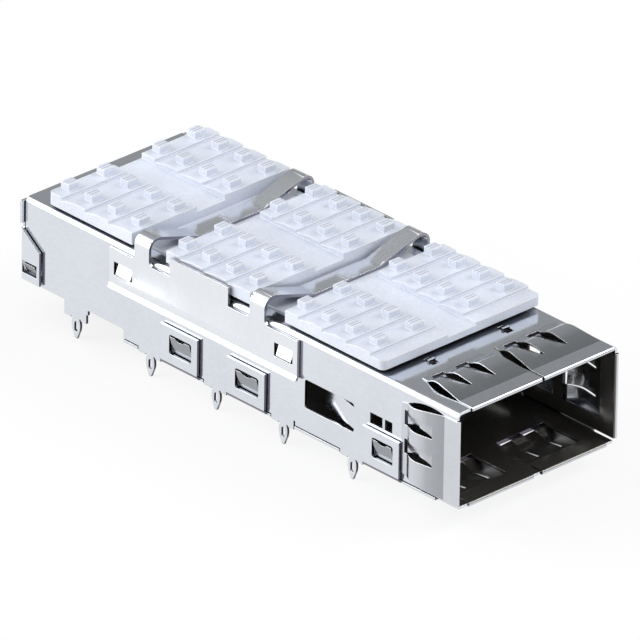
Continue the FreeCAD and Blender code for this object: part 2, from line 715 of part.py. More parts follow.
def make_heat_sink():
    """Finned aluminium block that rides on the cage top and reaches through it to the module."""
    body = new_body("heat_sink")
    half = sink_half
    rear = sink_front + sink_length
    corner = sink_corner * NEAR
    rim_low = cage_height + sink_gap
    rim_top = rim_low + sink_rim
    rim = [
        (-half, sink_front + sink_corner, (-half + corner, sink_front + corner)),
        (-half + sink_corner, sink_front),
        (half - sink_corner, sink_front, (half - corner, sink_front + corner)),
        (half, sink_front + sink_corner),
        (half, rear - sink_corner, (half - corner, rear - corner)),
        (half - sink_corner, rear),
        (-half + sink_corner, rear, (-half + corner, rear - corner)),
        (-half, rear - sink_corner),
    ]
    ridge_top = rim_top + ridge_height
    pad(body, "rim", "XY_Plane", [rim], rim_low, ridge_top)
    shoulder = rectangle(-half + shoulder_inset, half - shoulder_inset,
                         sink_front + shoulder_inset, rear - shoulder_inset)
    pad(body, "shoulder", "XY_Plane", [shoulder], cage_height, rim_low)
    pedestal = rectangle(-pedestal_width / 2, pedestal_width / 2,
                         pedestal_front, pedestal_front + pedestal_length)
    pad(body, "pedestal", "XY_Plane", [pedestal], top_inside - pedestal_drop, cage_height)

    fin_top = ridge_top + fin_height
    above = fin_top + MARGIN
    fins = []
    slopes = [rectangle(sink_front - MARGIN, row_front, rim_top, above)]
    lanes = []
    for block in range(BLOCKS):
        first = row_front + row_pitch * (block * (ROWS_PER_BLOCK + 1))
        for row in range(ROWS_PER_BLOCK):
            front = first + row_pitch * row
            back = front + fin_back + fin_depth
            fins.append(rectangle(front + fin_back, back, ridge_top, fin_top))
            slopes.append([(back, ridge_top), (front + row_pitch, rim_top), (front + row_pitch, ridge_top)])
        if block:
            lane_front = first - row_pitch * 2 + fin_back + fin_depth + strap_lane_play
            lanes.append(rectangle(-half - MARGIN, half + MARGIN, lane_front, first))
    pad(body, "fins", "YZ_Plane", fins, -half, half)
    edges = [-half - MARGIN]
    for middle in (-outer_column, -inner_column, inner_column, outer_column):
        edges += [middle - fin_width / 2, middle + fin_width / 2]
    edges.append(half + MARGIN)
    cuts = [rectangle(edges[index], edges[index + 1], ridge_top, above) for index in range(0, len(edges), 2)]
    pocket(body, "cross_cuts", "XZ_Plane", cuts, sink_front - MARGIN, rear + MARGIN)
    across(body, "slopes", slopes)
    lane = rectangle(-lane_width / 2, lane_width / 2, rim_top - lane_depth, above)
    pocket(body, "middle_lane", "XZ_Plane", [lane], sink_front - MARGIN, rear + MARGIN)
    pocket(body, "strap_lanes", "XY_Plane", lanes, cage_height + strap_lane_floor, above)
    place(body)


def strap_section():
    """Section of a strap: up from one rail, over a curl, straight down to the flat and up again."""
    root = rail_high - MARGIN
    centre = (rail_outer - strap_curl, cage_height + strap_crown - strap_curl)
    floor = cage_height + strap_lane_floor
    halfway = strap_slope / 2 + 45

    def side(radius, level):
        """One face of the right half: wall, middle of the curl, end of the curl, start of the flat."""
        finish = (centre[0] - radius * sine(strap_slope), centre[1] + radius * cosine(strap_slope))
        run = (finish[1] - level) * cosine(strap_slope) / sine(strap_slope)
        return [
            (centre[0] + radius, centre[1]),
            (centre[0] + radius * cosine(halfway), centre[1] + radius * sine(halfway)),
            finish,
            (finish[0] - run, level),
        ]

    wall, middle, finish, flat = side(strap_curl, floor + clip_gauge)
    under_wall, under_middle, under_finish, under_flat = side(strap_curl - clip_gauge, floor)

    def mirrored(point):
        return (-point[0], point[1])

    return [
        (rail_outer, root),
        (*wall, middle),
        finish,
        flat,
        mirrored(flat),
        (*mirrored(finish), mirrored(middle)),
        mirrored(wall),
        (-rail_outer, root),
        (-rail_inner, root),
        (*mirrored(under_wall), mirrored(under_middle)),
        mirrored(under_finish),
        mirrored(under_flat),
        under_flat,
        (*under_finish, under_middle),
        under_wall,
        (rail_inner, root),
    ]


def strap_roots(middle):
    """Edge of a rail round the foot of a strap, from rear to front."""
    bit = strap_root * NEAR
    high = rail_high + strap_root
    front = middle - strap_width / 2
    rear = middle + strap_width / 2
    return [
        (rear + strap_root, rail_high, (rear + bit, rail_high + bit)),
        (rear, high),
        (front, high, (front - bit, rail_high + bit)),
        (front - strap_root, rail_high),
    ]


def make_heat_sink_clip():
    """Spring clip: a rail hooked to each wall, joined by two straps that press on the heat sink."""
    body = new_body("heat_sink_clip")
    rear = rail_front + rail_length
    tower_rear = tower_front + tower_length
    rail = [
        (rail_front, rail_low + lip_height),
        (rear, rail_low + lip_height),
        (rear, rail_high),
        *strap_roots(strap_places[1]),
        (tower_rear, rail_high),
        (tower_rear, cage_height + tower_top),
        (tower_front, cage_height + tower_top),
        (tower_front, rail_high),
        *strap_roots(strap_places[0]),
        (rail_front, rail_high),
    ]
    pad(body, "left_rail", "YZ_Plane", [rail], -rail_outer, -rail_inner)
    for number, middle in enumerate(strap_places):
        pad(body, f"strap_{number}", "XZ_Plane", [strap_section()],
            middle - strap_width / 2, middle + strap_width / 2)
    pad(body, "right_rail", "YZ_Plane", [rail], rail_inner, rail_outer)
    lip = [
        (rail_inner, rail_low + lip_height),
        (rail_inner + lip_out, rail_low),
        (rail_outer + lip_out, rail_low),
        (rail_outer, rail_low + lip_height),
    ]
    pad(body, "lips", "XZ_Plane", both_sides(lip), rail_front, rear)
    across(body, "hook_windows", [rectangle(*hook) for hook in rail_hooks()])
    place(body)


def spring_section():
    """Section of a contact spring: leg inside the mouth, fold, strip, bowed finger and bar."""
    fold = sheet_gauge / 2 + spring_gauge
    return [
        (spring_leg, -sheet_gauge - spring_gauge),
        (fold, -sheet_gauge - spring_gauge, (0.0, -sheet_gauge / 2)),
        (fold, spring_gauge),
        (spring_strip, spring_gauge),
        (spring_ramp_end, spring_gauge + spring_bow, (spring_crest, spring_gauge + spring_bow)),
        (spring_fall, spring_gauge + spring_bow * FALL_HEIGHT),
        (spring_bow_end, spring_gauge),
        (spring_end, spring_gauge),
        (spring_end, 0.0),
        (spring_bow_end, 0.0),
        (spring_fall, spring_bow * FALL_HEIGHT, (spring_crest, spring_bow)),
        (spring_ramp_end, spring_bow),
        (spring_strip, 0.0),
        (fold, 0.0, (spring_gauge, -sheet_gauge / 2)),
        (fold, -sheet_gauge),
        (spring_leg, -sheet_gauge),
    ]


def corner_section(ramp_end, crest, fall, end):
    """Section of a finger's free corner, from the front of its gap to the slit, at the given heights."""
    return [
        (spring_gap_front, spring_gap_height + spring_gauge),
        (spring_ramp_end, ramp_end + spring_gauge, (spring_crest, crest + spring_gauge)),
        (spring_fall, fall + spring_gauge),
        (spring_bow_end, end + spring_gauge),
        (spring_bow_end, end),
        (spring_fall, fall, (spring_crest, crest)),
        (spring_ramp_end, ramp_end),
        (spring_gap_front, spring_gap_height),
    ]


def bend_corner(body, name, middle, hand):
    """Gap beside a finger, whose free corner is bent in: a lens along it and a slit behind it."""
    far = middle + spring_slit_reach * hand
    hole = rectangle(middle, far, spring_gap_front, spring_gap_end)
    pocket(body, f"{name}_hole", "XY_Plane", [hole], -sheet_gauge / 2, spring_bow + MARGIN)
    level = as_size(0.0)
    flush = corner_section(spring_bow, spring_bow, spring_bow * FALL_HEIGHT, level)
    bent = corner_section(level, -spring_sag, -spring_sag, -spring_dip)
    loft(body, f"{name}_corner", (flush, far), (bent, middle))
    lens = [
        (middle, spring_gap_front),
        (middle + spring_tip * hand, spring_gap_front, (middle + spring_lens * hand, spring_ramp_end)),
        (middle, spring_gap_end),
    ]
    depth = spring_sag + spring_dip + spring_gauge
    pocket(body, f"{name}_lens", "XY_Plane", [lens], -depth, spring_bow + MARGIN)


def slanted_edge(edge, hand):
    """Strip cut off along an edge of a spring, behind its flat front."""
    return [
        (edge, spring_strip),
        (edge - spring_taper * hand, spring_end + MARGIN),
        (edge + MARGIN * hand, spring_end + MARGIN),
        (edge + MARGIN * hand, spring_strip),
    ]


def make_spring(name, width, hand, turn, x, z):
    """One contact spring, drawn on top of a sheet edge and turned to its place on the mouth."""
    body = new_body(name)
    pad(body, f"{name}_sheet", "YZ_Plane", [spring_section()], -width / 2, width / 2)
    edges = [slanted_edge(-width / 2, -1), slanted_edge(width / 2, 1)]
    pocket(body, f"{name}_edges", "XY_Plane", edges, -sheet_gauge / 2, spring_bow + MARGIN)
    for number, middle in enumerate((-spring_pitch / 2, spring_pitch / 2)):
        bend_corner(body, f"{name}_{number}", middle, hand)
    body.Placement = FreeCAD.Placement(FreeCAD.Vector(), FreeCAD.Rotation(FreeCAD.Vector(0, 1, 0), turn))
    bind(body, "Placement.Base.x", x)
    bind(body, "Placement.Base.z", z)
    place(body)


def make_contact_springs():
    """Six springs that ground the mouth to the panel: two above, two below, one on each side."""
    make_spring("spring_top_left", top_spring_width, -1, 0, top_spring_left, cage_height)
    make_spring("spring_top_right", top_spring_width, -1, 0, top_spring_right, cage_height)
    make_spring("spring_bottom_left", low_spring_width, 1, 180, low_spring_left, plate_rise)
    make_spring("spring_bottom_right", low_spring_width, 1, 180, low_spring_right, plate_rise)
    make_spring("spring_side_left", side_spring_width, 1, -90, -half_width, side_spring_middle)
    make_spring("spring_side_right", side_spring_width, -1, 90, half_width, side_spring_middle)


def check_and_write():
    """Stops on any failed object or solid, then writes one file for each piece."""
    DOC.recompute()
    for item in DOC.Objects:
        if "Invalid" in item.State or "Error" in item.State:
            raise ValueError(f"{item.Label} failed: {item.State}")
    for body in NODES:
        if body.Shape.isNull() or not body.Shape.isValid() or len(body.Shape.Solids) != 1:
            raise ValueError(f"{body.Label} is not one sound solid")
    os.makedirs("parts", exist_ok=True)
    for body in NODES:
        body.Shape.exportStep(f"parts/{body.Label}.step")


make_cage_shell()
make_bottom_plate()
make_rear_cover()
make_heat_sink()
make_heat_sink_clip()
make_contact_springs()
check_and_write()
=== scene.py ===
"""Looks of a cage for one pluggable network module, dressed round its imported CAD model."""

import math

import bmesh
import bpy
from mathutils import Matrix, Vector


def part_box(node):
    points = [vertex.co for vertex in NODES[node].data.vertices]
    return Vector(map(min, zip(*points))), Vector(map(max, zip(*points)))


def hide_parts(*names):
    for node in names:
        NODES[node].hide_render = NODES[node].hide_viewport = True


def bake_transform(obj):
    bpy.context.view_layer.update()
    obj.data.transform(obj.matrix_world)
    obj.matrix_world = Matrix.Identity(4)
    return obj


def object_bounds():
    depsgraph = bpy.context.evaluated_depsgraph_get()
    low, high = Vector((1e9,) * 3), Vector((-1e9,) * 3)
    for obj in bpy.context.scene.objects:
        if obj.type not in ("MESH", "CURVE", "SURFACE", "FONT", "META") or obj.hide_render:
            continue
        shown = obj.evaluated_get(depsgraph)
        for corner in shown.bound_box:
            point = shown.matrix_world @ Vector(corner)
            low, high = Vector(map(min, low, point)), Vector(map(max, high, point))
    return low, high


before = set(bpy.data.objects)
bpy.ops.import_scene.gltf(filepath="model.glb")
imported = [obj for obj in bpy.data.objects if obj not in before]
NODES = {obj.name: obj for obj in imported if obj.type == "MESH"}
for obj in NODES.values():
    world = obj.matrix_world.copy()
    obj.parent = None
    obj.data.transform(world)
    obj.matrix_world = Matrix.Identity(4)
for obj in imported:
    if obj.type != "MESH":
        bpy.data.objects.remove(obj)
CAD_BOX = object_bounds()

bl_info = {
    "name": "Module Cage Looks",
    "version": (1, 0, 0),
    "blender": (4, 5, 0),
    "location": "View3D > Sidebar > Cage",
    "description": "Finishes, spring clip and stage for a network module cage",
    "category": "Object",
}

MM = 0.001
SPRINGS = ("spring_top_left", "spring_top_right", "spring_bottom_left", "spring_bottom_right",
           "spring_side_left", "spring_side_right")

# Marks on the surface: the two values between which each goes from none to full, and the share of a piece's
# own lean at which that mark starts.
ROUNDED = (0.995, 0.9)
FACING_MOUTH = (-0.8, -0.97)
FACING_IN = (-0.3, -0.7)
LITTLE_LIGHT = (0.75, 0.15)
UPRIGHT = (0.5, 0.8)
RISING = (-0.03, -0.14)
FOLDED = (-0.3, -0.5)
LEANING = (-0.05, -0.15)
LEAN_START = 0.3

# Finishes and painted light: the colours of the painted highlight on edges, of the painted shade in gaps and
# hollows, and of grooves, the parts of the hollows' and grooves' colours that are mixed in, the loss of metal
# on the inside that goes with its painted shade, and the height of the grain.
EDGE_HIGHLIGHT_SHEET = (0.97, 0.97, 0.99)
EDGE_HIGHLIGHT_SINK = (0.96, 0.98, 1.0)
SHEET_GAP_SHADE = (0.02, 0.02, 0.022)
SINK_HOLLOW_SHADE = (0.34, 0.36, 0.5)
SINK_GROOVE = (0.3, 0.32, 0.42)
HOLLOW_SHADE_PART = 0.5
GROOVE_PART = 0.6
INSIDE_DULLING = 0.25
GRAIN_HEIGHT = 0.01 * MM

# Grooves across the fins: the rows' spacing, the first row's start behind the sink's front, the grooves'
# places in a row, half their width at full and at no colour, and how far down the fins they are coloured.
FIN_ROW = 3.0 * MM
FIN_START = 1.97 * MM
FIN_GROOVES = (0.4 * MM, 0.72 * MM)
GROOVE_CORE = 0.03 * MM
GROOVE_RIM = 0.09 * MM
FIN_TOP_DEPTH = 0.05 * MM

# Clip: how its straps are divided, in slices of a width and a count out from the middle, two tolerances, and
# the angle from which an edge is sharp.
CLIP_SLICE = 0.5 * MM
CLIP_SLICES = 19
SAME_POINT = 1e-7
ON_PLANE = 1e-8
SHARP = math.radians(30)

# Stage: camera, floor, studio, and the softboxes with their names, places and extents.
SENSOR_MM = 36.0
LOOKED_AT = Vector((8.39, 5.46, -1.63)) * MM
CAMERA_REACH = 10.0
FLOOR_REACH = 1.0
PAPER_GREY = (0.88, 0.88, 0.88)
PAPER_WHITE = (0.92, 0.92, 0.92)
STUDIO_COLOUR = (0.98, 1.0, 1.0, 1.0)
SOFTBOXES = (
    ("key", (-0.36, 0.36, 0.36), (0.6, 0.4)),
    ("low", (-0.4, 0.4, 0.08), (0.9, 0.16)),
    ("fill", (0.36, -0.28, 0.4), (0.35, 0.3)),
    ("top", (-0.1, 0.02, 0.78), (1.2, 0.9)),
)


class FinishSettings(bpy.types.PropertyGroup):
    """Colours and finishes of the metals."""

    sheet: bpy.props.FloatVectorProperty(
        name="Cage sheet", description="Plated sheet of the cage", subtype="COLOR",
        size=3, default=(0.72, 0.75, 0.8), min=0.0, max=1.0)
    clip: bpy.props.FloatVectorProperty(
        name="Clip sheet", description="Spring steel of the heat sink clip", subtype="COLOR",
        size=3, default=(0.81, 0.83, 0.87), min=0.0, max=1.0)
    spring: bpy.props.FloatVectorProperty(
        name="Contact springs", description="Thin sheet of the springs round the mouth", subtype="COLOR",
        size=3, default=(0.64, 0.66, 0.7), min=0.0, max=1.0)
    sink: bpy.props.FloatVectorProperty(
        name="Heat sink", description="Satin aluminium of the heat sink", subtype="COLOR",
        size=3, default=(0.745, 0.785, 0.88), min=0.0, max=1.0)
    # The edge colours also carry painted shade on faces towards the mouth and on down-leaning faces outside
    # the walls.
    shell_cut_and_shade: bpy.props.FloatVectorProperty(
        name="Shell edges", description="Sheared edges of the shell and the springs", subtype="COLOR",
        size=3, default=(0.04, 0.036, 0.045), min=0.0, max=1.0)
    plate_cut_and_shade: bpy.props.FloatVectorProperty(
        name="Plate edges", description="Sheared edges and lower bends of the plates", subtype="COLOR",
        size=3, default=(0.16, 0.14, 0.19), min=0.0, max=1.0)
    clip_cut_and_shade: bpy.props.FloatVectorProperty(
        name="Clip edges", description="Sheared edges of the heat sink clip", subtype="COLOR",
        size=3, default=(0.3, 0.29, 0.33), min=0.0, max=1.0)
    inside: bpy.props.FloatVectorProperty(
        name="Inside", description="Unlit inner faces of the cage", subtype="COLOR",
        size=3, default=(0.15, 0.143, 0.134), min=0.0, max=1.0)
    edge_radius: bpy.props.FloatProperty(
        name="Edge radius", description="Rounding that catches the light along the edges", unit="LENGTH",
        default=0.06 * MM)
    # The reach of the painted shade in gaps and slits.
    crevice: bpy.props.FloatProperty(
        name="Crevices", description="Reach of the dark in gaps and slits", unit="LENGTH", default=0.9 * MM)


class StageSettings(bpy.types.PropertyGroup):
    """Camera and light."""

    azimuth: bpy.props.FloatProperty(
        name="Azimuth", description="Camera's turn about the vertical", subtype="ANGLE",
        default=math.radians(-43.66))
    elevation: bpy.props.FloatProperty(
        name="Elevation", description="Camera above the horizon", subtype="ANGLE",
        default=math.radians(27.5))
    roll: bpy.props.FloatProperty(
        name="Roll", description="Camera's turn about its own axis", subtype="ANGLE",
        default=math.radians(0.85))
    distance: bpy.props.FloatProperty(
        name="Distance", description="Camera from the point it looks at", unit="LENGTH", default=1.5216)
    focal: bpy.props.FloatProperty(
        name="Focal length", description="Lens for a square frame on a 36 mm sensor, in millimetres",
        default=980.8)
    world: bpy.props.FloatProperty(
        name="Studio", description="Brightness of the grey studio round the object", default=0.36)
    key: bpy.props.FloatProperty(
        name="Key light", description="Softbox at the left rear, in watts", default=1.95)
    low: bpy.props.FloatProperty(
        name="Low light", description="Low strip below the key light, in watts", default=1.3)
    fill: bpy.props.FloatProperty(
        name="Fill light", description="Softbox at the front right, in watts", default=1.65)
    top: bpy.props.FloatProperty(
        name="Top light", description="Softbox overhead, in watts", default=2.0)
    paper: bpy.props.FloatProperty(
        name="Paper glow", description="Part of the floor's white that no shadow darkens", subtype="FACTOR",
        default=0.85, min=0.0, max=1.0)


def finish_settings():
    return bpy.context.scene.cage_finish


def stage_settings():
    return bpy.context.scene.cage_stage


class NodeBench:
    """Adds nodes to one tree and joins them up."""

    def __init__(self, tree):
        self.tree = tree

    def add(self, kind, values=None, **settings):
        """A node of a kind, with its settings, and with values or sockets on its inputs."""
        node = self.tree.nodes.new(kind)
        for name, setting in settings.items():
            setattr(node, name, setting)
        for key, value in (values or {}).items():
            self.feed(node.inputs[key], value)
        return node

    def feed(self, socket, value):
        """Links a socket to an input, or sets a value or a colour on it."""
        if isinstance(value, bpy.types.NodeSocket):
            self.tree.links.new(value, socket)
        elif socket.type == "RGBA" and len(value) == 3:
            socket.default_value = (*value, 1.0)
        else:
            socket.default_value = value

    def math(self, operation, first, second=0.0, third=0.0):
        return self.add("ShaderNodeMath", {0: first, 1: second, 2: third}, operation=operation).outputs[0]

    def product(self, first, *others):
        """The product of sockets and values."""
        result = first
        for other in others:
            result = self.math("MULTIPLY", result, other)
        return result

    def step(self, value, low, high):
        """Changes smoothly from 0 at one value to 1 at another, which may be the lower one."""
        node = self.add("ShaderNodeMapRange", {"Value": value, "From Min": low, "From Max": high},
                        interpolation_type="SMOOTHSTEP")
        return node.outputs["Result"]

    def outside(self, value, limit):
        """1 where a value lies further from 0 than a limit, and 0 elsewhere."""
        return self.math("GREATER_THAN", self.math("ABSOLUTE", value), limit)

    def lowered(self, mask, depth):
        """A tone of 1 that falls by a depth where a mask is 1."""
        return self.math("SUBTRACT", 1.0, self.math("MULTIPLY", mask, depth))

    def place(self):
        """Where a point lies on its piece, as X, Y and Z."""
        point = self.add("ShaderNodeTexCoord").outputs["Object"]
        return self.add("ShaderNodeSeparateXYZ", {0: point}).outputs

    def facing(self, normal="True Normal"):
        """Which way the surface faces, as X, Y and Z."""
        direction = self.add("ShaderNodeNewGeometry").outputs[normal]
        return self.add("ShaderNodeSeparateXYZ", {0: direction}).outputs

    def blend(self, part, first, second):
        """A colour between two colours."""
        return self.add("ShaderNodeMix", {0: part, 6: first, 7: second}, data_type="RGBA").outputs[2]

    def shade(self, colour, tone):
        """A colour made lighter or darker by a value near 1."""
        return self.add("ShaderNodeVectorMath", {0: colour, "Scale": tone}, operation="SCALE").outputs[0]

    def effect(self, name, values=None):
        """One of the shared effects, with values or sockets on its inputs."""
        return self.add("ShaderNodeGroup", values, node_tree=bpy.data.node_groups[name]).outputs


def new_effect(name, inputs, outputs):
    """An empty node group with named inputs, each with its default, and named outputs."""
    group = bpy.data.node_groups.new(name, "ShaderNodeTree")
    for label, default in inputs:
        socket = group.interface.new_socket(label, in_out="INPUT", socket_type="NodeSocketFloat")
        socket.default_value = default
    for label, kind in outputs:
        group.interface.new_socket(label, in_out="OUTPUT", socket_type=f"NodeSocket{kind}")
    bench = NodeBench(group)
    entry = bench.add("NodeGroupInput")
    leave = bench.add("NodeGroupOutput")
    return bench, entry.outputs, leave.inputs


def make_satin_grain():
    """Fine rolled grain along the sheet, with a broad unevenness of tone and gloss."""
    bench, entry, leave = new_effect(
        "satin_grain",
        [("Across", 9000.0), ("Along", 1200.0), ("Tone", 0.06), ("Gloss", 0.3), ("Spread", 0.08)],
        [("Tone", "Float"), ("Roughness", "Float"), ("Height", "Float")])
    point = bench.add("ShaderNodeTexCoord").outputs["Object"]
    stretch = bench.add("ShaderNodeCombineXYZ", {0: entry["Across"], 1: entry["Along"], 2: entry["Across"]})
    lines = bench.add("ShaderNodeVectorMath", {0: point, 1: stretch.outputs[0]}, operation="MULTIPLY")
    grain = bench.add("ShaderNodeTexNoise", {"Vector": lines.outputs[0], "Scale": 1.0, "Detail": 3.0})
    cloud = bench.add("ShaderNodeTexNoise", {"Vector": point, "Scale": 160.0, "Detail": 2.0})
    both = bench.math("ADD", grain.outputs["Fac"], cloud.outputs["Fac"])
    swing = bench.math("SUBTRACT", both, 1.0)
    bench.feed(leave["Tone"], bench.math("MULTIPLY_ADD", swing, entry["Tone"], 1.0))
    bench.feed(leave["Roughness"], bench.math("MULTIPLY_ADD", swing, entry["Spread"], entry["Gloss"]))
    bench.feed(leave["Height"], grain.outputs["Fac"])


def make_round_edges():
    """Rounds the edges for the light and marks where they are."""
    bench, entry, leave = new_effect(
        "round_edges", [("Radius", 0.06 * MM)], [("Normal", "Vector"), ("Edge", "Float")])
    rounded = bench.add("ShaderNodeBevel", {"Radius": entry["Radius"]}, samples=6).outputs["Normal"]
    flat = bench.add("ShaderNodeNewGeometry").outputs["True Normal"]
    likeness = bench.add("ShaderNodeVectorMath", {0: rounded, 1: flat}, operation="DOT_PRODUCT")
    bench.feed(leave["Normal"], rounded)
    bench.feed(leave["Edge"], bench.step(likeness.outputs["Value"], *ROUNDED))


def make_cut_edges_and_shade():
    """Marks sheared edges that face the mouth, for their darker metal and a painted shade, and faces outside
    the walls that lean down, for a painted shade.
    """
    bench, entry, leave = new_effect(
        "sheared_edges", [("Wall", 9.2 * MM), ("Mouth", -30.0 * MM), ("Rear", 23.5 * MM), ("Lean", -0.7)],
        [("Mask", "Float")])
    facing = bench.facing()
    place = bench.place()
    behind = bench.math("GREATER_THAN", place["Y"], entry["Mouth"])
    before = bench.math("LESS_THAN", place["Y"], entry["Rear"])
    front = bench.product(bench.step(facing["Y"], *FACING_MOUTH), behind, before)
    # Painted shade: faces outside the walls that lean down are marked to take the dark edge colour.
    below = bench.step(facing["Z"], bench.math("MULTIPLY", entry["Lean"], LEAN_START), entry["Lean"])
    lower = bench.product(below, bench.outside(place["X"], entry["Wall"]))
    bench.feed(leave["Mask"], bench.math("MAXIMUM", front, lower))


def make_inner_faces():
    """Marks the faces within the walls that look towards the cage's middle, but not the pins' faces."""
    bench, entry, leave = new_effect(
        "inner_faces", [("Wall", 9.3 * MM), ("Middle", 4.7 * MM), ("Board", 0.1 * MM)], [("Mask", "Float")])
    facing = bench.facing()
    place = bench.place()
    side = bench.math("MULTIPLY", facing["X"], bench.math("SIGN", place["X"]))
    height = bench.math("SUBTRACT", place["Z"], entry["Middle"])
    level = bench.math("MULTIPLY", facing["Z"], bench.math("SIGN", height))
    above = bench.math("GREATER_THAN", place["Z"], entry["Board"])
    within = bench.math("LESS_THAN", bench.math("ABSOLUTE", place["X"]), entry["Wall"])
    walls = bench.product(bench.step(side, *FACING_IN), above)
    inner = bench.math("MAXIMUM", walls, bench.step(level, *FACING_IN))
    bench.feed(leave["Mask"], bench.product(inner, within))


def make_crevices():
    """Marks the gaps and slits that little light reaches, as far as wanted on upright sides."""
    bench, entry, leave = new_effect("crevices", [("Reach", 0.6 * MM), ("Sides", 1.0)], [("Mask", "Float")])
    light = bench.add("ShaderNodeAmbientOcclusion", {"Distance": entry["Reach"]}, samples=8)
    dark = bench.step(light.outputs["AO"], *LITTLE_LIGHT)
    upright = bench.step(bench.math("ABSOLUTE", bench.facing()["X"]), *UPRIGHT)
    part = bench.math("MULTIPLY_ADD", upright, bench.math("SUBTRACT", entry["Sides"], 1.0), 1.0)
    bench.feed(leave["Mask"], bench.product(dark, part))


def make_spring_shade():
    """Painted shade on the springs: dark behind the front strip, darkest where the fingers rise, pale at the
    bars.
    """
    bench, entry, leave = new_effect(
        "bowed_sheet", [("Depth", 0.2), ("Start", -28.9 * MM), ("Crest", -25.2 * MM)], [("Tone", "Float")])
    facing = bench.facing("Normal")
    place = bench.place()
    rising = bench.step(facing["Y"], *RISING)
    folded = bench.step(facing["Y"], *FOLDED)
    fading = bench.step(place["Y"], entry["Crest"], entry["Start"])
    ramp = bench.product(bench.math("SUBTRACT", rising, folded), fading)
    behind = bench.math("GREATER_THAN", place["Y"], entry["Start"])
    # The painted shade is dark on the body as far as halfway to the crest, and then fades. It has half of the
    # depth, and the rising ramp has all of it.
    body = bench.product(bench.math("MINIMUM", bench.math("MULTIPLY", fading, 2.0), 1.0), behind)
    shaded = bench.product(bench.math("MULTIPLY_ADD", ramp, 0.5, 0.5), body)
    bench.feed(leave["Tone"], bench.lowered(shaded, entry["Depth"]))


def make_catch_shade():
    """Painted shade on the catches, which stand out of the walls and lean down away from the light."""
    bench, entry, leave = new_effect(
        "raised_catches", [("Depth", 0.5), ("Wall", 9.49 * MM)], [("Tone", "Float")])
    leaning = bench.step(bench.facing()["Z"], *LEANING)
    raised = bench.product(leaning, bench.outside(bench.place()["X"], entry["Wall"]))
    bench.feed(leave["Tone"], bench.lowered(raised, entry["Depth"]))


def make_effects():
    """Builds the effects that the materials share, once."""
    if "satin_grain" in bpy.data.node_groups:
        return
    for make in (make_satin_grain, make_round_edges, make_cut_edges_and_shade, make_inner_faces, make_crevices,
                 make_spring_shade, make_catch_shade):
        make()


def new_material(name):
    """An empty node material with its Principled shader and output."""
    material = bpy.data.materials.new(name)
    material.use_nodes = True
    tree = material.node_tree
    tree.nodes.clear()
    shader = tree.nodes.new("ShaderNodeBsdfPrincipled")
    output = tree.nodes.new("ShaderNodeOutputMaterial")
    tree.links.new(shader.outputs["BSDF"], output.inputs["Surface"])
    return material, NodeBench(tree), shader


def feed_surface(bench, shader, satin, edges, relief):
    """Gives a shader the grain's gloss, and the grain's relief over the rounded edges."""
    bench.feed(shader.inputs["Roughness"], satin["Roughness"])
    bump = bench.add("ShaderNodeBump", {"Height": satin["Height"], "Normal": edges["Normal"],
                                        "Strength": relief, "Distance": GRAIN_HEIGHT})
    bench.feed(shader.inputs["Normal"], bump.outputs["Normal"])


def sheet_metal(name, colour, cut_and_shade, gloss, edge_highlight, grain, sides=1.0, painted_shade=None, lean=-0.7):
    """Plated sheet: satin grain, round edges with a painted highlight, darker sheared edges with painted
    shade, and painted shade inside and in the gaps.
    """
    make_effects()
    settings = finish_settings()
    material, bench, shader = new_material(name)
    across, along = grain
    satin = bench.effect("satin_grain", {"Across": across, "Along": along, "Tone": 0.12, "Gloss": gloss,
                                         "Spread": 0.08})
    edges = bench.effect("round_edges", {"Radius": settings.edge_radius})
    crevice = bench.effect("crevices", {"Reach": settings.crevice, "Sides": sides})
    tone = satin["Tone"]
    # Painted shade: the named effect darkens the tone where it lies.
    if painted_shade:
        effect, depth = painted_shade
        tone = bench.math("MULTIPLY", tone, bench.effect(effect, {"Depth": depth})["Tone"])
    plated = bench.shade(colour, tone)
    # Painted highlight: the rounded edges are blended towards near-white.
    highlighted = bench.blend(bench.math("MULTIPLY", edges["Edge"], edge_highlight), plated, EDGE_HIGHLIGHT_SHEET)
    # The dark edge colour is partly the sheared metal and partly painted shade on faces towards the mouth and
    # on down-leaning faces outside the walls.
    cut_and_shaded = bench.blend(bench.effect("sheared_edges", {"Lean": lean})["Mask"], highlighted, cut_and_shade)
    # Painted shade: the faces inside the cage take the dark inside colour and lose some metal.
    inside = bench.effect("inner_faces")["Mask"]
    shaded_inside = bench.blend(inside, cut_and_shaded, settings.inside)
    # Painted shade: near-black where little light reaches the gaps and slits.
    bench.feed(shader.inputs["Base Color"], bench.blend(crevice["Mask"], shaded_inside, SHEET_GAP_SHADE))
    bench.feed(shader.inputs["Metallic"], bench.lowered(inside, INSIDE_DULLING))
    feed_surface(bench, shader, satin, edges, relief=0.06)
    return material


def fin_grooves(bench):
    """Mask of the fine grooves across the tops of the fins, the same in every row."""
    low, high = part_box("heat_sink")
    place = bench.place()
    along = bench.math("SUBTRACT", place["Y"], low[1] + FIN_START)
    within = bench.math("FLOORED_MODULO", along, FIN_ROW)
    grooves = 0.0
    for groove in FIN_GROOVES:
        away = bench.math("ABSOLUTE", bench.math("SUBTRACT", within, groove))
        grooves = bench.math("MAXIMUM", grooves, bench.step(away, GROOVE_RIM, GROOVE_CORE))
    top = bench.math("GREATER_THAN", place["Z"], high[2] - FIN_TOP_DEPTH)
    return bench.product(grooves, top)


